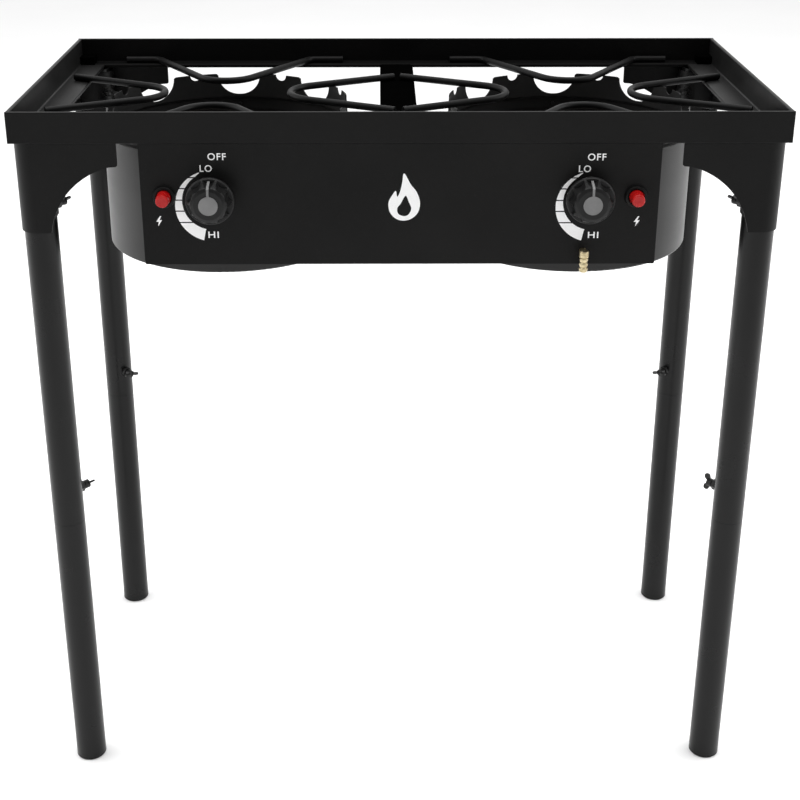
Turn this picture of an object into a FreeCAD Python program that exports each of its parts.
import FreeCAD, Part
import math
import os

# Two-burner propane burner stand.
# Frame: origin at the centre of the footprint on the floor, +X along the long side,
# +Y away from the control panel, +Z up. Millimetres.

V = FreeCAD.Vector

# --- Driving dimensions -----------------------------------------------------------------------
WIDTH = 800.0            # tray frame, outside, along X
DEPTH = 380.0            # tray frame, outside, along Y
HEIGHT = 812.0           # floor to the top of the tray frame
RIM = 33.0               # height of the angle-iron frame
ANGLE_T = 4.0            # thickness of the angle iron
END_FLANGE = 33.5        # flange width of the two side rails
FACE_FLANGE = 20.0       # flange width of the front and rear rails
CHANNEL_W = 41.0         # centre channel between the two burners

LEG_X = 378.4            # leg axes
LEG_Y = 170.2
LEG_R = 17.5             # 35 mm tube
LEG_WALL = 1.5
LEG_SPLIT = 330.0        # height where a lower leg meets its upper leg
SPIGOT_LEN = 80.0        # swaged end of the lower leg inside the upper leg
SPIGOT_R = 15.92
LEG_GAP = 0.12           # between the two tubes at rest
LEG_BOLT_Z = 365.0       # wing bolt that locks a lower leg

SHEET = 2.0              # corner bracket sheet
BRACKET_ARM = 110.0      # length of a bracket wing from the outside corner of the frame
BRACKET_LOW = 683.0      # lowest edge of a bracket
BRACKET_TAB = 25.0       # height of the straight end of a wing
CLAMP_LOW = 698.0
BRACKET_BOLTS_Z = (706.0, 752.0)

BURNER_X = 194.5         # burner, valve and knob axes; the burners are at Y = 0
BOWL_R = 142.0
BOWL_T = 1.2
BOWL_LOW = 620.7
BOWL_TOP = 751.0
BOWL_CORNER = 2.0
GUARD_R = 137.5          # upper, castellated part of the wind guard
GUARD_LOW = 735.0
SCALLOPS = 8
SCALLOP_R = 25.5
NOTCH_R = 7.0

WIRE_R = 4.0             # 8 mm pot-support rod
SIDE_WIRE_APEX = 71.5    # burner axis to the apex of a side wire
SIDE_WIRE_END = 190.0    # burner axis to the foot of a side wire
FACE_WIRE_X = 203.5      # axis of the front and rear wires
FACE_WIRE_APEX = 61.0
FACE_WIRE_END = 181.5

PANEL_W = 535.6
PANEL_LOW = 648.5
PANEL_FACE = 189.8       # distance of the panel's face from the centre plane
PANEL_T = 1.5

VALVE_Z = 723.6
IGNITER_X = 243.8
IGNITER_Z = 722.8
INLET_Z = 662.8          # gas inlet through the panel
MANIFOLD_Y = -172.0
MANIFOLD_Z = 697.0

REAR_BAR_Z = 714.0       # bar across the backs of both bowls
REAR_BAR_END_Z = 727.0   # its ends are cranked up, clear of the wing bolts
REAR_BAR_H = 18.0
REAR_BAR_T = 3.0
HANGER_LOW = 740.4
HANGER_BOLT_Z = 744.5
HANGER_SCREW_DX = 10.0   # half the distance between a hanger's screws
BAR_SCREW_DX = 12.0
GUARD_SCREW_Z = 741.0
GUARD_SCREW_ANGLES = (0, 90, 270)    # the hanger's screws hold the front
FLANGE_SCREW_Y = -178.0              # screws down through the front flange
PANEL_SCREWS_X = (-250.0, -45.0, 45.0, 250.0)
STRAP_SCREW_X = 389.0    # screw that ties the rear bar to a clamp strap
SCREW_HOLE_R = 2.2       # M4 screw
BOLT_R = 3.0             # M6 wing bolt
BOLT_HOLE_R = 3.4
NUT_BORE_R = 3.06
NUT_R = 6.6              # across the corners of a weld nut
FOOT_T = 3.0             # thickness of a foot cap under the tube

HEAD_R = 58.0            # cast burner head
HEAD_LOW = 708.0
HEAD_TOP = 746.0
TUBE_R = 11.0            # mixing tube
TUBE_BORE_R = 8.5
MOUTH_Y = -146.0
MOUTH_R = 14.0
MOUTH_LEN = 12.0
VALVE_REAR = -158.0
SHUTTER_T = 1.4
RUNNING = 0.06           # radial clearance of a turning fit

STEM_R = 3.0
KNOB_R = 25.0
KNOB_BACK = -PANEL_FACE - 4.0        # the knob stands off the panel by its push-in travel
KNOB_FACE = -225.0
INSERT_R = 9.8
MANIFOLD_R = 7.0
BARB_X = 191.7           # axis of the hose barb, which hangs in front of the panel
BARB_Y = -201.0
BARB_TIP = 643.6
BARB_R = 4.6             # of a ring
BARB_PITCH = 5.4
IGNITER_R = 10.5         # hole in the panel
BARREL_R = 10.3
BUTTON_R = 7.6
BUTTON_PROUD = 18.0
LEAD_R = 1.5
LEAD_X = 30.0            # burner axis to the lead's hole in the bowl
LEAD_HOLE_Z = 692.0
LEAD_DROP_Y = -146.0
CERAMIC_R = 3.2
CERAMIC_Y = -104.0       # rear end of an electrode's insulator
CERAMIC_LEN = 34.0
CLIP_Y = -92.0

RIM_LOW = HEIGHT - RIM               # underside of the frame's flanges
SHELF = RIM_LOW + ANGLE_T            # top of the flanges, where the wires rest
WIRE_Z = SHELF + WIRE_R
OUT_X = LEG_X + LEG_R + SHEET        # outside faces of a bracket
OUT_Y = LEG_Y + LEG_R + SHEET
HALF_W = WIDTH / 2
HALF_D = DEPTH / 2
SIDES = (("left", -1), ("right", 1))
ENDS = (("front", -1), ("rear", 1))
X_AXIS = V(1, 0, 0)
Y_AXIS = V(0, 1, 0)
Z_AXIS = V(0, 0, 1)


# --- Helpers ----------------------------------------------------------------------------------
def box(x0, x1, y0, y1, z0, z1):
    """Axis-aligned block between two corners."""
    return Part.makeBox(x1 - x0, y1 - y0, z1 - z0, V(x0, y0, z0))


def rod(start, direction, radius, length):
    """Solid cylinder from a point along a direction."""
    return Part.makeCylinder(radius, length, V(*start), V(*direction))


def pipe(start, direction, outer, inner, length):
    """Hollow cylinder."""
    return rod(start, direction, outer, length).cut(rod(start, direction, inner, length))


def pair(offset):
    """The two signs of an offset."""
    return (-offset, offset)


def through(x, z):
    """Screw hole along Y through whatever stands near the front of a bowl."""
    return rod((x, -160, z), (0, 1, 0), SCREW_HOLE_R, 40)


def fuse(shapes):
    """One solid from touching or crossing shapes."""
    body = shapes[0]
    for piece in shapes[1:]:
        body = body.fuse(piece)
    return body.removeSplitter()


def cut(body, tools):
    """The body less every tool."""
    for tool in tools:
        body = body.cut(tool)
    return body


def outline(corners):
    """Closed wire in the XY plane through (x, y, radius) corners, each rounded by its radius."""
    count = len(corners)
    starts, ends, middles = [], [], []
    for i in range(count):
        x, y, radius = corners[i]
        here = V(x, y, 0)
        before = V(*corners[i - 1][:2], 0) - here
        after = V(*corners[(i + 1) % count][:2], 0) - here
        before.normalize()
        after.normalize()
        half = before.getAngle(after) / 2
        setback = radius / math.tan(half)
        starts.append(here + before * setback)
        ends.append(here + after * setback)
        bisector = (before + after).normalize() if radius else V(0, 0, 0)
        middles.append(here + bisector * (radius / math.sin(half) - radius))
    edges = []
    for i in range(count):
        if corners[i][2]:
            edges.append(Part.Arc(starts[i], middles[i], ends[i]).toShape())
        following = starts[(i + 1) % count]
        if ends[i].distanceToPoint(following) > 1e-6:
            edges.append(Part.LineSegment(ends[i], following).toShape())
    return Part.Wire(edges)


def plate(corners, origin, u_axis, v_axis, thickness):
    """Flat part: a rounded outline in the plane (u, v) at origin, thickened along u x v."""
    normal = u_axis.cross(v_axis)
    matrix = FreeCAD.Matrix(
        u_axis.x, v_axis.x, normal.x, origin[0],
        u_axis.y, v_axis.y, normal.y, origin[1],
        u_axis.z, v_axis.z, normal.z, origin[2],
        0, 0, 0, 1)
    face = Part.Face(outline(corners))
    solid = face.extrude(V(0, 0, thickness))
    solid.transformShape(matrix)
    return solid


def turned(profile, x=0.0, y=0.0, z=0.0, along_y=False):
    """Solid of revolution about Z from (r, z, corner radius) points, or about +Y if along_y."""
    face = Part.Face(outline(profile))
    face.rotate(V(0, 0, 0), X_AXIS, 90)
    solid = face.revolve(V(0, 0, 0), Z_AXIS, 360)
    if along_y:
        solid.rotate(V(0, 0, 0), X_AXIS, -90)
    solid.translate(V(x, y, z))
    return solid


def mirrored(shape, sx, sy):
    """Copy of a part made for the front left corner, in another corner."""
    copy = shape.copy()
    if sx > 0:
        copy = copy.mirror(V(0, 0, 0), X_AXIS)
    if sy > 0:
        copy = copy.mirror(V(0, 0, 0), Y_AXIS)
    return copy


def spun(shape, x, y, degrees):
    """Copy turned about a vertical axis."""
    copy = shape.copy()
    copy.rotate(V(x, y, 0), Z_AXIS, degrees)
    return copy


def solid_of(shape):
    """The single solid in a shape, valid and facing outwards."""
    solids = shape.Solids
    if len(solids) != 1:
        raise ValueError("expected one solid, found %d" % len(solids))
    return solids[0]


PARTS = {}


def keep(name, shapes):
    """Register a node: one solid, or a group of separate solids."""
    solids = [solid_of(s) for s in (shapes if isinstance(shapes, list) else [shapes])]
    PARTS[name] = solids[0] if len(solids) == 1 else Part.makeCompound(solids)


# --- Tray frame -------------------------------------------------------------------------------
def angle_profile(flange):
    """Rolled angle section: u inwards from the outside face, v up from the underside."""
    t = ANGLE_T
    return [(0, 0, 1.0), (flange, 0, 0.8), (flange, t, 1.2), (t, t, 2.0), (t, RIM, 1.5), (0, RIM, 1.2)]


def tray_frame():
    inner_x = HALF_W - ANGLE_T
    face_rail = plate(angle_profile(FACE_FLANGE), (-HALF_W, -HALF_D, RIM_LOW), Y_AXIS, Z_AXIS, WIDTH)
    for side in (-1, 1):
        end = side * (HALF_W + 1)
        notch = box(min(side * inner_x, end), max(side * inner_x, end),
                    -HALF_D + ANGLE_T, 0, RIM_LOW - 1, HEIGHT + 1)
        face_rail = face_rail.cut(notch)
    across = list(PANEL_SCREWS_X)
    for side in (-1, 1):
        across += [side * BURNER_X + dx for dx in pair(HANGER_SCREW_DX)]
    holes = [rod((x, FLANGE_SCREW_Y, RIM_LOW - 1), (0, 0, 1), SCREW_HOLE_R, RIM) for x in across]
    keep("front_rail", cut(face_rail, holes))
    keep("rear_rail", mirrored(face_rail, -1, 1))
    side_length = DEPTH - 2 * ANGLE_T
    side_rail = plate(angle_profile(END_FLANGE), (-HALF_W, side_length / 2, RIM_LOW),
                      X_AXIS, Z_AXIS, side_length)
    for end in (-1, 1):
        y_in = end * (HALF_D - FACE_FLANGE)
        y_out = end * HALF_D
        side_rail = side_rail.cut(box(-inner_x, 0, min(y_in, y_out), max(y_in, y_out),
                                      RIM_LOW - 1, SHELF + RIM))
    keep("left_rail", side_rail)
    keep("right_rail", mirrored(side_rail, 1, -1))
    half_c = CHANNEL_W / 2
    wall = 3.0
    section = [(-half_c, -20, 0.8), (-half_c + wall, -20, 0.8), (-half_c + wall, -wall, 1.5),
               (half_c - wall, -wall, 1.5), (half_c - wall, -20, 0.8), (half_c, -20, 0.8),
               (half_c, 0, 3), (-half_c, 0, 3)]
    length = DEPTH - 2 * FACE_FLANGE
    keep("centre_channel", plate(section, (0, length / 2, SHELF), X_AXIS, Z_AXIS, length))


def corner_blocks():
    """Moulded blocks in the inside corners of the tray."""
    x, y = HALF_W - ANGLE_T, HALF_D - ANGLE_T
    block = box(-x, -x + 17.5, -y, -y + 18, SHELF, SHELF + 10)
    block = block.makeFillet(1.2, [e for e in block.Edges if e.BoundBox.ZMin > SHELF + 5])
    block = cut(block, [PARTS["front_rail"], PARTS["left_rail"]])
    keep("corner_blocks", [mirrored(block, sx, sy) for sx in (-1, 1) for sy in (-1, 1)])


# --- Corner brackets and legs -----------------------------------------------------------------
def corner_bracket():
    """Sheet bent round the leg, with a long wing under each rail."""
    far_x, far_y = HALF_W - BRACKET_ARM, HALF_D - BRACKET_ARM
    height = RIM_LOW - BRACKET_LOW
    skin = plate(
        [(-far_x, -OUT_Y, 0), (-far_x, -OUT_Y + SHEET, 0), (-OUT_X + SHEET, -OUT_Y + SHEET, LEG_R),
         (-OUT_X + SHEET, -far_y, 0), (-OUT_X, -far_y, 0), (-OUT_X, -OUT_Y, LEG_R + SHEET)],
        (0, 0, BRACKET_LOW), X_AXIS, Y_AXIS, height)
    # Edge of a wing seen from outside: distance from the frame's corner, height above the foot.
    step, foot = 101.0, 36.7
    tab = height - BRACKET_TAB
    shape = Part.Wire([
        Part.LineSegment(V(foot, -1, 0), V(foot, 0, 0)).toShape(),
        Part.Arc(V(foot, 0, 0), V(58.5, 45.5, 0), V(step, tab, 0)).toShape(),
        Part.LineSegment(V(step, tab, 0), V(BRACKET_ARM - 1.5, tab + 0.6, 0)).toShape(),
        Part.LineSegment(V(BRACKET_ARM - 1.5, tab + 0.6, 0), V(BRACKET_ARM + 1, tab + 3, 0)).toShape(),
        Part.LineSegment(V(BRACKET_ARM + 1, tab + 3, 0), V(BRACKET_ARM + 1, -1, 0)).toShape(),
        Part.LineSegment(V(BRACKET_ARM + 1, -1, 0), V(foot, -1, 0)).toShape()])
    waste = Part.Face(shape).extrude(V(0, 0, 12))
    front = waste.copy()
    front.rotate(V(0, 0, 0), X_AXIS, 90)
    front.translate(V(-HALF_W, -HALF_D + 8, BRACKET_LOW))
    side = waste.copy()
    side.rotate(V(0, 0, 0), X_AXIS, 90)
    side.rotate(V(0, 0, 0), Z_AXIS, 90)
    side.translate(V(-HALF_W - 4, -HALF_D, BRACKET_LOW))
    return cut(skin, [front, side])


def clamp_strap():
    """Inner strap that closes the bracket round the leg, welded to both wings."""
    inner = LEG_R + 0.05
    near_x, near_y = -LEG_X + inner, -LEG_Y + inner
    wall_x, wall_y = -OUT_X + SHEET, -OUT_Y + SHEET
    strap = plate(
        [(near_x, wall_y, 0), (near_x + SHEET, wall_y, 0), (near_x + SHEET, near_y + SHEET, LEG_R + SHEET),
         (wall_x, near_y + SHEET, 0), (wall_x, near_y, 0), (near_x, near_y, LEG_R)],
        (0, 0, CLAMP_LOW), X_AXIS, Y_AXIS, RIM_LOW - CLAMP_LOW - 4)
    for z in BRACKET_BOLTS_Z:
        strap = strap.cut(rod((-LEG_X, -LEG_Y, z), (1, 1, 0), BOLT_HOLE_R, 40))
    return strap.cut(rod((-STRAP_SCREW_X, -LEG_Y, REAR_BAR_END_Z), (0, 1, 0), SCREW_HOLE_R, 40))


def radial(shape, degrees_roll=0.0):
    """Place a fastener made along +X at a front left leg axis, pointing at the frame's centre."""
    copy = shape.copy()
    copy.rotate(V(0, 0, 0), X_AXIS, degrees_roll)
    copy.rotate(V(0, 0, 0), Z_AXIS, 45)
    return copy


def weld_nut(wall_r, length):
    """Hexagonal nut along +X, saddled on the upright wall it is welded to."""
    start = wall_r - 2.0
    points = [V(start, NUT_R * math.cos(math.radians(a)), NUT_R * math.sin(math.radians(a)))
              for a in range(0, 361, 60)]
    block = Part.Face(Part.makePolygon(points)).extrude(V(length + 2.0, 0, 0))
    return cut(block, [rod((start - 1, 0, 0), (1, 0, 0), NUT_BORE_R, length + 4),
                       rod((0, 0, -NUT_R - 1), (0, 0, 1), wall_r, 2 * NUT_R + 2)])


def wing_bolt(tip, seat, size=1.0):
    """Wing bolt along +X: shank from the tip, collar on the seat, and two pressed wings."""
    reach = 7 * size
    shank = rod((tip, 0, 0), (1, 0, 0), BOLT_R, seat + reach - tip)
    collar = rod((seat, 0, 0), (1, 0, 0), 4.8, reach)
    upper = [(3, 3, 1), (6, 11.5, 2.5), (13, 11.5, 3), (12, 4.5, 2), (7, 1.5, 1)]
    lower = [(x, -y, r) for x, y, r in reversed(upper)]
    around = [(seat + x * size, y * size, r * size) for x, y, r in [(1, 0, 0)] + upper + lower]
    wing = plate(around, (0, 0, -1.1), X_AXIS, Y_AXIS, 2.2)
    return fuse([shank, collar, wing])


def at_leg(shape, z, sx, sy, roll=0.0):
    """Fastener on a leg, on the line from the leg's axis towards the frame's centre."""
    placed = radial(shape, roll)
    placed.translate(V(-LEG_X, -LEG_Y, z))
    return mirrored(placed, sx, sy)


def corner_sets():
    bracket = corner_bracket()
    strap = clamp_strap()
    tube = pipe((-LEG_X, -LEG_Y, LEG_SPLIT + LEG_GAP), (0, 0, 1), LEG_R, LEG_R - LEG_WALL,
                RIM_LOW - LEG_SPLIT - LEG_GAP)
    tube = tube.cut(rod((-LEG_X, -LEG_Y, LEG_BOLT_Z), (1, 1, 0), BOLT_HOLE_R, 30))
    split = LEG_SPLIT
    lower_profile = [
        (LEG_R, FOOT_T, 0), (LEG_R, split - 0.2, 0), (LEG_R - 0.25, split, 0), (SPIGOT_R, split, 0),
        (SPIGOT_R, split + SPIGOT_LEN - 2, 0), (SPIGOT_R - 1, split + SPIGOT_LEN, 0),
        (SPIGOT_R - LEG_WALL, split + SPIGOT_LEN, 0), (SPIGOT_R - LEG_WALL, split - 2, 0),
        (LEG_R - LEG_WALL, split - 6, 0), (LEG_R - LEG_WALL, FOOT_T, 0)]
    lower = turned(lower_profile, -LEG_X, -LEG_Y)
    cap_profile = [(0, 0, 0), (LEG_R - 1.2, 0, 1.0), (LEG_R, 1.4, 0), (LEG_R, FOOT_T, 0),
                   (LEG_R - LEG_WALL, FOOT_T, 0), (LEG_R - LEG_WALL, 18, 0),
                   (LEG_R - LEG_WALL - 2, 20, 0), (0, 20, 0)]
    cap = turned(cap_profile, -LEG_X, -LEG_Y)
    locking_bolt = wing_bolt(SPIGOT_R + 0.35, LEG_R + 5.5, 0.85)
    rolls = {("front", "left"): -35, ("front", "right"): 87, ("rear", "left"): 5, ("rear", "right"): 8}
    nuts, bolts, straps = [], [], []
    for end, sy in ENDS:
        for side, sx in SIDES:
            where = "%s_%s" % (end, side)
            keep("corner_bracket_" + where, mirrored(bracket, sx, sy))
            keep("upper_leg_" + where, mirrored(tube, sx, sy))
            keep("lower_leg_" + where, mirrored(lower, sx, sy))
            keep("foot_cap_" + where, mirrored(cap, sx, sy))
            straps.append(mirrored(strap, sx, sy))
            roll = rolls[(end, side)]
            keep("leg_wing_bolt_" + where, at_leg(locking_bolt, LEG_BOLT_Z, sx, sy, roll))
            nuts.append(at_leg(weld_nut(LEG_R, 4.0), LEG_BOLT_Z, sx, sy))
            for k, z in enumerate(BRACKET_BOLTS_Z):
                nuts.append(at_leg(weld_nut(LEG_R + SHEET + 0.08, 5.0), z, sx, sy))
                bolt = wing_bolt(LEG_R + 0.02, LEG_R + SHEET + 6.5, 0.75)
                bolts.append(at_leg(bolt, z, sx, sy, 40 * k - 35))
    keep("clamp_straps", straps)
    keep("weld_nuts", nuts)
    keep("bracket_wing_bolts", bolts)


# --- Pot-support wires ------------------------------------------------------------------------
def bent_rod(points, radii, thickness=WIRE_R):
    """Round rod along straight runs joined by arcs, with flat cut ends."""
    path = []
    cursor = V(*points[0])
    for i in range(1, len(points) - 1):
        here = V(*points[i])
        before = (V(*points[i - 1]) - here).normalize()
        after = (V(*points[i + 1]) - here).normalize()
        half = before.getAngle(after) / 2
        setback = radii[i - 1] / math.tan(half)
        first, last = here + before * setback, here + after * setback
        middle = here + (before + after).normalize() * (radii[i - 1] / math.sin(half) - radii[i - 1])
        path.append(Part.LineSegment(cursor, first).toShape())
        path.append(Part.Arc(first, middle, last).toShape())
        cursor = last
    path.append(Part.LineSegment(cursor, V(*points[-1])).toShape())
    spine = Part.Wire(path)
    start = V(*points[0])
    direction = V(*points[1]) - start
    section = Part.Wire([Part.makeCircle(thickness, start, direction)])
    return spine.makePipeShell([section], True, False)


def pot_wires():
    """Four V-shaped rods for each burner, their feet on the flanges, in one level plane."""
    def side_wire(toward):
        """V that opens towards +toward X, about the burner axis, with straight legs."""
        apex = toward * (SIDE_WIRE_APEX - 47.0)
        end = toward * SIDE_WIRE_END
        return [(end, 82.5), (apex, 0.0), (end, -82.5)]

    def face_wire(toward):
        """V that opens towards +toward Y, about its own axis, with feet turned out along X."""
        apex = toward * (FACE_WIRE_APEX - 32.0)
        end = toward * FACE_WIRE_END
        return [(-136.0, end), (-95.0, end), (0.0, apex), (95.0, end), (136.0, end)]

    for side, sx in SIDES:
        wires = {}
        for name, flat, centre, apex_r in (
                ("left", side_wire(-1), BURNER_X, 38.0), ("right", side_wire(1), BURNER_X, 38.0),
                ("front", face_wire(-1), FACE_WIRE_X, 35.4), ("rear", face_wire(1), FACE_WIRE_X, 35.4)):
            points = [(x + sx * centre, y, WIRE_Z) for x, y in flat]
            radii = [apex_r] if len(points) == 3 else [13.0, apex_r, 13.0]
            wires[name] = bent_rod(points, radii)
        keep(side + "_burner_side_wires", [wires["left"], wires["right"]])
        keep(side + "_burner_face_wires", [wires["front"], wires["rear"]])


# --- Burner bowls and wind guards -------------------------------------------------------------
def bowl(cx):
    """Deep drawn bowl with a rounded bottom edge, air slots in its floor and a burner hole."""
    r, t, c = BOWL_R, BOWL_T, BOWL_CORNER
    profile = [(0, BOWL_LOW, 0), (r, BOWL_LOW, c), (r, BOWL_TOP, 0), (r - t, BOWL_TOP, 0),
               (r - t, BOWL_LOW + t, c - t), (0, BOWL_LOW + t, 0)]
    shell = turned(profile, cx, 0)
    tools = [rod((cx, 0, BOWL_LOW - 1), (0, 0, 1), 4.2, 6)]
    slot = plate([(-7, 62, 6.99), (7, 62, 6.99), (7, 112, 6.99), (-7, 112, 6.99)],
                 (cx, 0, BOWL_LOW - 1), X_AXIS, Y_AXIS, 6)
    tools += [spun(slot, cx, 0, 22.5 + 45 * k) for k in range(8)]
    tools.append(mouth_hole(cx))
    tools += [spun(rod((cx, 0, GUARD_SCREW_Z), (0, 1, 0), 2.1, 160), cx, 0, a) for a in GUARD_SCREW_ANGLES]
    tools += [through(cx + dx, HANGER_BOLT_Z) for dx in pair(HANGER_SCREW_DX)]
    tools += [rod((cx + dx, 120, REAR_BAR_Z), (0, 1, 0), SCREW_HOLE_R, 40) for dx in pair(BAR_SCREW_DX)]
    lead_x = cx + math.copysign(LEAD_X, cx)
    tools.append(rod((lead_x, -160, LEAD_HOLE_Z), (0, 1, 0), 3.0, 60))
    return cut(shell, tools)


def mouth_hole(cx):
    """Hole for the mixing tube through the front of a bowl and its guard."""
    return rod((cx, -BOWL_R - 10, VALVE_Z), (0, 1, 0), MOUTH_R + 1.0, 40)


def wind_guard(cx):
    """Ring with a castellated top; its lower part is stepped out to fit inside the bowl."""
    t = BOWL_T
    fit = BOWL_R - BOWL_T - 0.05
    z0, z1, z2, z3 = GUARD_LOW, BOWL_TOP - 4, BOWL_TOP - 0.5, RIM_LOW
    profile = [(fit, z0, 0), (fit, z1, 1.5), (GUARD_R, z2, 1.5), (GUARD_R, z3, 0),
               (GUARD_R - t, z3, 0), (GUARD_R - t, z2 - 0.4, 1.5), (fit - t, z1 - 0.4, 1.5), (fit - t, z0, 0)]
    ring = turned(profile, cx, 0)
    shoulder = 3.5
    blank = plate([(-SCALLOP_R - 8, 12, 0), (-SCALLOP_R - 8, shoulder - 3.5, 0),
                   (-SCALLOP_R, shoulder - 3.5, shoulder), (-SCALLOP_R, -SCALLOP_R, SCALLOP_R * 0.96),
                   (SCALLOP_R, -SCALLOP_R, SCALLOP_R * 0.96), (SCALLOP_R, shoulder - 3.5, shoulder),
                   (SCALLOP_R + 8, shoulder - 3.5, 0), (SCALLOP_R + 8, 12, 0)],
                  (cx, GUARD_R + 10, RIM_LOW), X_AXIS, Z_AXIS, 30)
    notch = rod((cx, GUARD_R - 30, RIM_LOW), (0, 1, 0), NOTCH_R, 50)
    tools = [mouth_hole(cx)]
    for k in range(SCALLOPS):
        tools.append(spun(blank, cx, 0, k * 360 / SCALLOPS))
        tools.append(spun(notch, cx, 0, (k + 0.5) * 360 / SCALLOPS))
    tools += [spun(rod((cx, 0, GUARD_SCREW_Z), (0, 1, 0), 2.1, 160), cx, 0, a) for a in GUARD_SCREW_ANGLES]
    tools += [through(cx + dx, HANGER_BOLT_Z) for dx in pair(HANGER_SCREW_DX)]
    return cut(ring, tools)


def pan_screw(length, shank_r=2.0):
    """Pan-head screw along +Y, head towards -Y with its underside at the origin."""
    head = turned([(0, -2.4, 0), (3.9, -2.4, 1.6), (3.9, 0, 0), (0, 0, 0)], along_y=True)
    return fuse([head, rod((0, 0, 0), (0, 1, 0), shank_r, length)])


def bowls():
    screws = []
    for side, sx in SIDES:
        cx = sx * BURNER_X
        keep(side + "_burner_bowl", bowl(cx))
        keep(side + "_wind_guard", wind_guard(cx))
        for angle in GUARD_SCREW_ANGLES:
            screw = pan_screw(7.0)
            screw.translate(V(cx, -BOWL_R, GUARD_SCREW_Z))
            screws.append(spun(screw, cx, 0, 180 + angle))
    return screws


def bowl_mounts():
    """Front hangers from the front flange, and one bar behind both bowls."""
    t = 2.0
    hangers, bolts = [], []
    for side, sx in SIDES:
        cx = sx * BURNER_X
        y_face = -BOWL_R - 0.1
        low = HANGER_LOW - RIM_LOW
        section = [(-186.0, 0, 0), (-186.0, -t, 0), (y_face - t, -t, 1.5), (y_face - t, low, 0),
                   (y_face, low, 0), (y_face, 0, 3.5)]
        hanger = plate(section, (cx - 16, 0, RIM_LOW), Y_AXIS, Z_AXIS, 32)
        tools = [rod((cx + dx, FLANGE_SCREW_Y, RIM_LOW - 6), (0, 0, 1), SCREW_HOLE_R, 12)
                 for dx in pair(HANGER_SCREW_DX)]
        tools += [through(cx + dx, HANGER_BOLT_Z) for dx in pair(HANGER_SCREW_DX)]
        hangers.append(cut(hanger, tools))
        for dx in pair(HANGER_SCREW_DX):
            down = pan_screw(9.0)
            down.rotate(V(0, 0, 0), X_AXIS, -90)
            down.translate(V(cx + dx, FLANGE_SCREW_Y, SHELF))
            bolts.append(down)
            across = pan_screw(6.0)
            across.translate(V(cx + dx, y_face - t, HANGER_BOLT_Z))
            bolts.append(across)
    keep("bowl_hangers", hangers)
    near, far = BOWL_R + 0.1, LEG_Y - LEG_R - SHEET - 0.1
    t = REAR_BAR_T
    half = OUT_X - SHEET - 1
    kink = 350.0
    low, high, half_h = REAR_BAR_Z, REAR_BAR_END_Z, REAR_BAR_H / 2
    plan = plate([(-half, far - t, 0), (-kink - 6, far - t, 3), (-kink, near, 3), (kink, near, 3),
                  (kink + 6, far - t, 3), (half, far - t, 0), (half, far, 0), (kink + 5, far, 3),
                  (kink - 1, near + t, 3), (-kink + 1, near + t, 3), (-kink - 5, far, 3), (-half, far, 0)],
                 (0, 0, low - half_h), X_AXIS, Y_AXIS, high - low + REAR_BAR_H)
    drop, rise = kink - 34, kink - 12
    band = plate([(-half - 1, high - half_h, 0), (-rise, high - half_h, 8), (-drop, low - half_h, 8),
                  (drop, low - half_h, 8), (rise, high - half_h, 8), (half + 1, high - half_h, 0),
                  (half + 1, high + half_h, 0), (rise, high + half_h, 8), (drop, low + half_h, 8),
                  (-drop, low + half_h, 8), (-rise, high + half_h, 8), (-half - 1, high + half_h, 0)],
                 (0, far + 1, 0), X_AXIS, Z_AXIS, far - near + 2)
    bar = plan.common(band)
    holes = []
    for side, sx in SIDES:
        for dx in pair(BAR_SCREW_DX):
            x = sx * BURNER_X + dx
            holes.append(rod((x, 120, REAR_BAR_Z), (0, 1, 0), SCREW_HOLE_R, 40))
            inward = pan_screw(9.0)
            inward.rotate(V(0, 0, 0), Z_AXIS, 180)
            inward.translate(V(x, near + t, REAR_BAR_Z))
            bolts.append(inward)
        x = sx * STRAP_SCREW_X
        holes.append(rod((x, 120, REAR_BAR_END_Z), (0, 1, 0), SCREW_HOLE_R, 40))
        outward = pan_screw(6.5)
        outward.translate(V(x, far - t, REAR_BAR_END_Z))
        bolts.append(outward)
    keep("rear_bowl_bar", cut(bar, holes))
    return bolts


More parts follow.
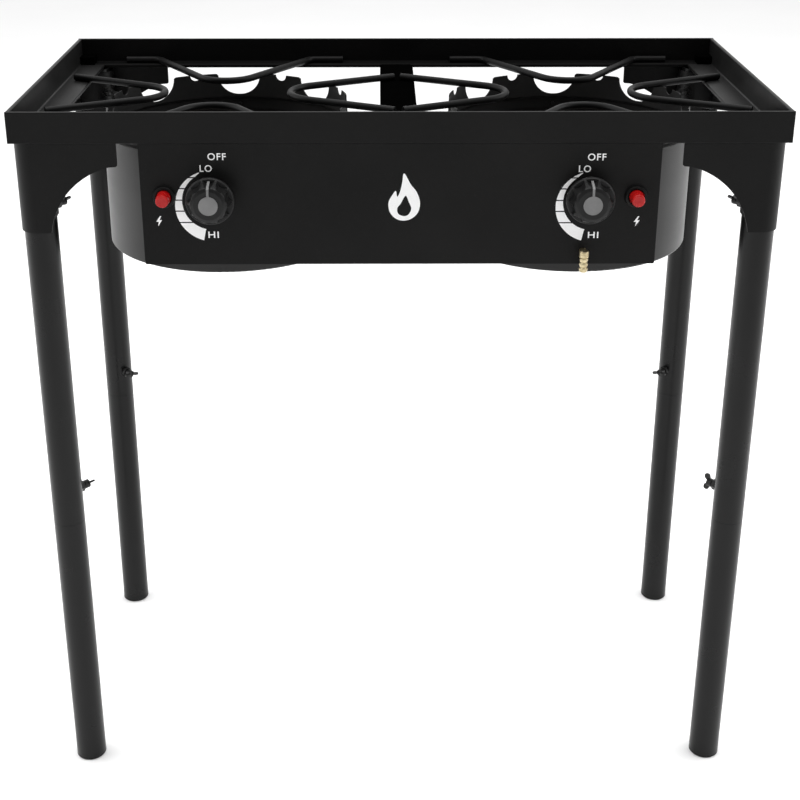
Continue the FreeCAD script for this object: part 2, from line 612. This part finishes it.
# --- Burners and gas train --------------------------------------------------------------------
def burner_casting(cx):
    """Hollow cast head with two rings of ports, fed by a horizontal mixing tube."""
    head = turned([(0, HEAD_LOW, 0), (30, HEAD_LOW, 4), (HEAD_R, 722, 5), (HEAD_R, HEAD_TOP - 5, 3),
                   (HEAD_R - 8, HEAD_TOP, 3), (16, HEAD_TOP, 2), (14, HEAD_TOP - 4, 0), (0, HEAD_TOP - 4, 0)],
                  cx, 0)
    cavity = turned([(9, HEAD_LOW + 5, 0), (28, HEAD_LOW + 5, 3), (HEAD_R - 5, 725, 3),
                     (HEAD_R - 5, HEAD_TOP - 8, 2), (9, HEAD_TOP - 8, 0)], cx, 0)
    length = -MOUTH_Y - 30
    tube = rod((cx, MOUTH_Y, VALVE_Z), (0, 1, 0), TUBE_R, length)
    mouth = rod((cx, MOUTH_Y, VALVE_Z), (0, 1, 0), MOUTH_R, MOUTH_LEN)
    bell = rod((cx, MOUTH_Y + 2.0, VALVE_Z), (0, 1, 0), MOUTH_R - 2.5, MOUTH_LEN - 4.0)
    bore = rod((cx, MOUTH_Y + 3.0, VALVE_Z), (0, 1, 0), TUBE_BORE_R, length - 12.0)
    foot = rod((cx, 0, HEAD_LOW - 4), (0, 0, 1), 10.0, 8)
    body = cut(fuse([head, tube, mouth, foot]), [cavity, bell, bore] + air_windows(cx, MOUTH_Y - 1, 4.0))
    ports = []
    for radius, count, size in ((24.0, 16, 1.6), (36.0, 24, 1.6), (47.0, 32, 1.4)):
        for k in range(count):
            a = 2 * math.pi * k / count
            ports.append(rod((cx + radius * math.cos(a), radius * math.sin(a), HEAD_TOP - 12),
                             (0, 0, 1), size, 14))
    body = body.cut(Part.makeCompound(ports))
    return body.cut(rod((cx, 0, HEAD_LOW - 5), (0, 0, 1), 3.3, 12))


def burner_post(cx):
    """Stud and spacer that carry the casting on the floor of its bowl."""
    floor, foot, stud_r = BOWL_LOW + BOWL_T, HEAD_LOW - 4, 3.0
    return turned([(0, BOWL_LOW - 7, 0), (stud_r, BOWL_LOW - 7, 0), (stud_r, BOWL_LOW - 5, 0),
                   (6.0, BOWL_LOW - 5, 0), (6.0, BOWL_LOW, 0), (stud_r, BOWL_LOW, 0), (stud_r, floor, 0),
                   (8.0, floor, 0), (8.0, foot, 0), (stud_r, foot, 0), (stud_r, foot + 10, 0),
                   (0, foot + 10, 0)], cx, 0)


def air_windows(cx, y, depth):
    """Jet hole and two opposite quarter windows, cut alike in the mouth and in its shutter."""
    ring = pipe((cx, y, VALVE_Z), (0, 1, 0), MOUTH_R - 3.0, 5.4, depth)
    upper = box(cx + 0.8, cx + MOUTH_R, y, y + depth, VALVE_Z + 0.8, VALVE_Z + MOUTH_R)
    lower = box(cx - MOUTH_R, cx - 0.8, y, y + depth, VALVE_Z - MOUTH_R, VALVE_Z - 0.8)
    return [ring.common(upper), ring.common(lower), rod((cx, y, VALVE_Z), (0, 1, 0), 3.6, depth)]


def air_shutter(cx):
    """Cup turning on the tube's mouth, with air windows and a lever."""
    outer = MOUTH_R + SHUTTER_T
    back = MOUTH_Y - 0.6
    cup = pipe((cx, back, VALVE_Z), (0, 1, 0), outer, MOUTH_R + RUNNING, 4.6)
    front = rod((cx, back - SHUTTER_T, VALVE_Z), (0, 1, 0), outer, SHUTTER_T)
    lever = plate([(-3.5, 13, 0), (3.5, 13, 0), (3.5, 26, 3), (-3.5, 26, 3)],
                  (cx, back, VALVE_Z), X_AXIS, Z_AXIS, SHUTTER_T)
    return cut(fuse([cup, front, lever]), air_windows(cx, back - SHUTTER_T - 1, SHUTTER_T + 2))


def valve(cx):
    """Brass needle valve: body, threaded nose through the panel, and the stub on the manifold."""
    nose_y = -PANEL_FACE - 2.0
    body = rod((cx, -186.0, VALVE_Z), (0, 1, 0), 11.0, 186.0 + VALVE_REAR)
    nose = rod((cx, nose_y, VALVE_Z), (0, 1, 0), 5.8, 10)
    stub = rod((cx, MANIFOLD_Y, MANIFOLD_Z + 6.5), (0, 0, 1), 6.0, 18)
    bore = rod((cx, nose_y - 1, VALVE_Z), (0, 1, 0), STEM_R + RUNNING, 24)
    seat_bore = rod((cx, VALVE_REAR - 8, VALVE_Z), (0, 1, 0), 2.0, 9)
    saddle = rod((cx - 9, MANIFOLD_Y, MANIFOLD_Z), (1, 0, 0), MANIFOLD_R, 18)
    return cut(fuse([body, nose, stub]), [bore, seat_bore, saddle])


def valve_stem(cx):
    """D-shaped stem from inside the valve to inside the knob."""
    start = KNOB_FACE + 10.7
    length = -171.0 - start
    stem = rod((cx, start, VALVE_Z), (0, 1, 0), STEM_R, length)
    flat = box(cx + 1.9, cx + 5, start - 1, -PANEL_FACE - 2.5, VALVE_Z - 5, VALVE_Z + 5)
    return stem.cut(flat)


def knob(cx):
    """Moulded knob: hub, round skirt, ten-fluted tapering grip and a pocket for its insert."""
    y0, face = KNOB_BACK, KNOB_FACE
    depth = y0 - face
    hub = [(0, 0, 0), (17.5, 0, 1.0), (19.5, 11.0, 1.5)]
    skirt = [(KNOB_R, 12.0, 0.8), (KNOB_R, 15.5, 1.0), (KNOB_R - 2, 17.5, 1.2)]
    front = [(21.5, 21.5, 2.0), (18.6, depth - 1.5, 2.0), (15.0, depth, 1.0), (0, depth, 0)]
    grip = hub + skirt + front
    body = turned(grip, 0, 0, 0, along_y=True)
    body.rotate(V(0, 0, 0), Z_AXIS, 180)
    body.translate(V(cx, y0, VALVE_Z))
    flutes = []
    for k in range(10):
        a = math.radians(36 * k + 18)
        x, z = cx + 27.5 * math.cos(a), VALVE_Z + 27.5 * math.sin(a)
        cone = Part.makeCone(8.0, 9.8, depth - 15, V(x, y0 - 16.5, z), V(0, -1, 0))
        flutes.append(cone)
    bore = rod((cx, face + 6.5, VALVE_Z), (0, 1, 0), STEM_R + RUNNING, 60)
    flat = box(cx + 1.96, cx + 5, face + 6, y0 + 1, VALVE_Z - 5, VALVE_Z + 5)
    clearance = rod((cx, y0 - 8, VALVE_Z), (0, 1, 0), 8.0, 9)
    return cut(body, flutes + [bore.cut(flat), clearance, knob_insert(cx)])


def knob_insert(cx):
    """Grey disc with its pointer, pressed into the knob."""
    disc = rod((cx, KNOB_FACE - 0.8, VALVE_Z), (0, 1, 0), INSERT_R, 2.2)
    arm = box(cx - 1.2, cx + 1.2, KNOB_FACE - 0.6, KNOB_FACE + 1.4, VALVE_Z + 5, VALVE_Z + 16.5)
    slope = plate([(KNOB_FACE - 0.6, 16.4, 0), (KNOB_FACE + 1.4, 16.4, 0), (KNOB_FACE + 13.5, 20.35, 0),
                   (KNOB_FACE + 13.5, 22.3, 0), (KNOB_FACE + 2.2, 19.6, 0.8), (KNOB_FACE - 0.6, 17.6, 0.6)],
                  (cx - 1.2, 0, VALVE_Z), Y_AXIS, Z_AXIS, 2.4)
    return fuse([disc, arm, slope])


def gas_train():
    jets, valves, posts = [], [], []
    for side, sx in SIDES:
        cx = sx * BURNER_X
        keep(side + "_burner", burner_casting(cx))
        keep(side + "_air_shutter", air_shutter(cx))
        valves.append(valve(cx))
        keep(side + "_valve_stem", valve_stem(cx))
        keep(side + "_knob", knob(cx))
        keep(side + "_knob_insert", knob_insert(cx))
        corners = [V(5.2 * math.cos(math.radians(a)), 0, 5.2 * math.sin(math.radians(a)))
                   for a in range(0, 361, 60)]
        hexagon = Part.Face(Part.makePolygon(corners))
        hexagon.translate(V(cx, VALVE_REAR, VALVE_Z))
        jet = fuse([hexagon.extrude(V(0, 5, 0)),
                    Part.makeCone(3.4, 2.0, 4.0, V(cx, VALVE_REAR + 5, VALVE_Z), Y_AXIS)])
        jets.append(jet.cut(rod((cx, VALVE_REAR - 1, VALVE_Z), (0, 1, 0), 0.6, 12)))
        posts.append(burner_post(cx))
    keep("gas_valves", valves + jets)
    keep("burner_posts", posts)
    half = BURNER_X + 22
    tube = pipe((-half, MANIFOLD_Y, MANIFOLD_Z), (1, 0, 0), MANIFOLD_R, 5.0, 2 * half)
    caps = [rod((x, MANIFOLD_Y, MANIFOLD_Z), (1, 0, 0), MANIFOLD_R + 0.8, 5) for x in (-half - 2, half - 3)]
    manifold = fuse([tube] + caps)
    drop_top = MANIFOLD_Z - 6.0
    nipple_r, bore_r = 3.2, 2.0
    tee = rod((BARB_X, MANIFOLD_Y, MANIFOLD_Z - 20), (0, 0, 1), 6.05, 20)
    taps = [rod((s * BURNER_X, MANIFOLD_Y, MANIFOLD_Z + 3), (0, 0, 1), 3.0, 8) for s in (-1, 1)]
    keep("gas_manifold", cut(manifold, [tee] + taps))
    drop = rod((BARB_X, MANIFOLD_Y, INLET_Z - 6), (0, 0, 1), 6.0, drop_top - INLET_Z + 6)
    nipple = rod((BARB_X, BARB_Y, INLET_Z), (0, 1, 0), nipple_r, MANIFOLD_Y - BARB_Y)
    collar = rod((BARB_X, PANEL_T - PANEL_FACE + 0.1, INLET_Z), (0, 1, 0), 8.0, 3.0)
    rings = [(0, BARB_TIP, 0), (BARB_R - 1.0, BARB_TIP, 0.3)]
    z = BARB_TIP
    for _ in range(3):
        rings += [(BARB_R, z + 2.8, 0.3), (BARB_R, z + 4.2, 0.3), (BARB_R - 1.0, z + BARB_PITCH, 0)]
        z += BARB_PITCH
    body_r = BARB_R + 0.5
    rings += [(body_r, z + 0.2, 0.3), (body_r, INLET_Z + 4.2, 1.4), (0, INLET_Z + 4.2, 0)]
    barb = turned(rings, BARB_X, BARB_Y, 0)
    bores = [rod((BARB_X, BARB_Y, BARB_TIP - 1), (0, 0, 1), bore_r, INLET_Z - BARB_TIP + 1),
             rod((BARB_X, BARB_Y, INLET_Z), (0, 1, 0), bore_r, MANIFOLD_Y - BARB_Y),
             rod((BARB_X, MANIFOLD_Y, INLET_Z), (0, 0, 1), bore_r, 60),
             rod((BARB_X - 9, MANIFOLD_Y, MANIFOLD_Z), (1, 0, 0), 5.0, 18)]
    keep("hose_inlet", cut(fuse([drop, nipple, collar, barb]), bores))


# --- Control panel and igniters ---------------------------------------------------------------
def control_panel():
    """Folded steel face plate, screwed up into the front rail's flange."""
    half, t, face = PANEL_W / 2, PANEL_T, -PANEL_FACE
    top = RIM_LOW
    height = top - PANEL_LOW
    sheet = plate([(-half, 0, 2), (half, 0, 2), (half, height, 0), (-half, height, 0)],
                  (0, face + t, PANEL_LOW), X_AXIS, Z_AXIS, t)
    upper = box(-half, half, face, face + 18, top - t, top)
    lower = box(-half + 2, half - 2, face, face + 12, PANEL_LOW, PANEL_LOW + t)
    ends = [box(min(s * half, s * (half - t)), max(s * half, s * (half - t)), face, face + 12,
                PANEL_LOW + 2, top) for s in (-1, 1)]
    body = fuse([sheet, upper, lower] + ends)
    gap = 17.0
    tools = [rod((x, FLANGE_SCREW_Y, top - 4), (0, 0, 1), SCREW_HOLE_R, 8) for x in PANEL_SCREWS_X]
    tools += [box(s * BURNER_X - gap, s * BURNER_X + gap, face + t + 1.9, 0, top - 4, top + 1)
              for s in (-1, 1)]
    tools += [rod((s * BURNER_X, face - 2, VALVE_Z), (0, 1, 0), 6.0, 6) for s in (-1, 1)]
    tools += [rod((s * IGNITER_X, face - 2, IGNITER_Z), (0, 1, 0), IGNITER_R, 6) for s in (-1, 1)]
    tools.append(rod((BARB_X, face - 2, INLET_Z), (0, 1, 0), 3.6, 6))
    keep("control_panel", cut(body, tools))
    screws = []
    for x in PANEL_SCREWS_X:
        screw = pan_screw(10.0)
        screw.rotate(V(0, 0, 0), X_AXIS, -90)
        screw.translate(V(x, FLANGE_SCREW_Y, SHELF))
        screws.append(screw)
    return screws


def igniters():
    """Piezo push igniters: bezel and barrel, panel nut, sprung button, lead and electrode."""
    bodies, leads, electrodes = [], [], []
    face = -PANEL_FACE
    for side, sx in SIDES:
        x, cx = sx * IGNITER_X, sx * BURNER_X
        bore = BUTTON_R + 0.4
        barrel = turned([(bore, face - 4.5, 1.0), (11.2, face - 4.5, 1.2), (12.2, face, 0),
                         (BARREL_R, face, 0), (BARREL_R, face + 30, 1.5), (bore, face + 30, 0)],
                        x, 0, IGNITER_Z, along_y=True)
        back = rod((x, face + 30, IGNITER_Z), (0, 1, 0), 8.6, 2)
        tail = rod((x, face + 32, IGNITER_Z), (0, 1, 0), 2.4, 3)
        bodies.append(fuse([barrel, back, tail]))
        bodies.append(pipe((x, face + PANEL_T, IGNITER_Z), (0, 1, 0), 13.0, BARREL_R + 0.05, 3.5))
        front = face - BUTTON_PROUD
        keep(side + "_igniter_button", turned(
            [(0, front, 0), (6.6, front, 1.4), (BUTTON_R, face - 6, 0.6), (BUTTON_R, face + 18, 0),
             (0, face + 18, 0)], x, 0, IGNITER_Z, along_y=True))
        clip_x = cx + sx * (TUBE_R + CERAMIC_R + 1.2)
        hole_x = cx + sx * LEAD_X
        leads.append(bent_rod(
            [(x, face + 35, IGNITER_Z), (x, LEAD_DROP_Y, IGNITER_Z), (x, LEAD_DROP_Y, LEAD_HOLE_Z),
             (hole_x, LEAD_DROP_Y, LEAD_HOLE_Z), (hole_x, -118.0, LEAD_HOLE_Z),
             (clip_x, -116.0, VALVE_Z), (clip_x, CERAMIC_Y, VALVE_Z)],
            [7.0, 7.0, 7.0, 7.0, 7.0], LEAD_R))
        ceramic = rod((clip_x, CERAMIC_Y, VALVE_Z), (0, 1, 0), CERAMIC_R, CERAMIC_LEN)
        pin = bent_rod([(clip_x, CERAMIC_Y + CERAMIC_LEN - 1, VALVE_Z), (clip_x, -62.5, VALVE_Z),
                        (clip_x, -62.5, HEAD_TOP + 6), (clip_x, -54, HEAD_TOP + 8)], [3.0, 3.0], 1.0)
        electrodes.append(fuse([ceramic, pin]))
        clip = fuse([pipe((cx, CLIP_Y, VALVE_Z), (0, 1, 0), TUBE_R + 1.0, TUBE_R + 0.02, 8),
                     pipe((clip_x, CLIP_Y, VALVE_Z), (0, 1, 0), CERAMIC_R + 1.2, CERAMIC_R + 0.02, 8)])
        electrodes.append(clip.cut(rod((cx, CLIP_Y - 1, VALVE_Z), (0, 1, 0), TUBE_R + 0.02, 10)))
    keep("igniter_bodies", bodies)
    keep("igniter_leads", leads)
    keep("igniter_electrodes", electrodes)


tray_frame()
corner_blocks()
corner_sets()
pot_wires()
gas_train()
igniters()
keep("pan_screws", bowls() + bowl_mounts() + control_panel())

os.makedirs("parts", exist_ok=True)
for name, shape in PARTS.items():
    shape.exportStep("parts/%s.step" % name)
print(len(PARTS), "nodes")
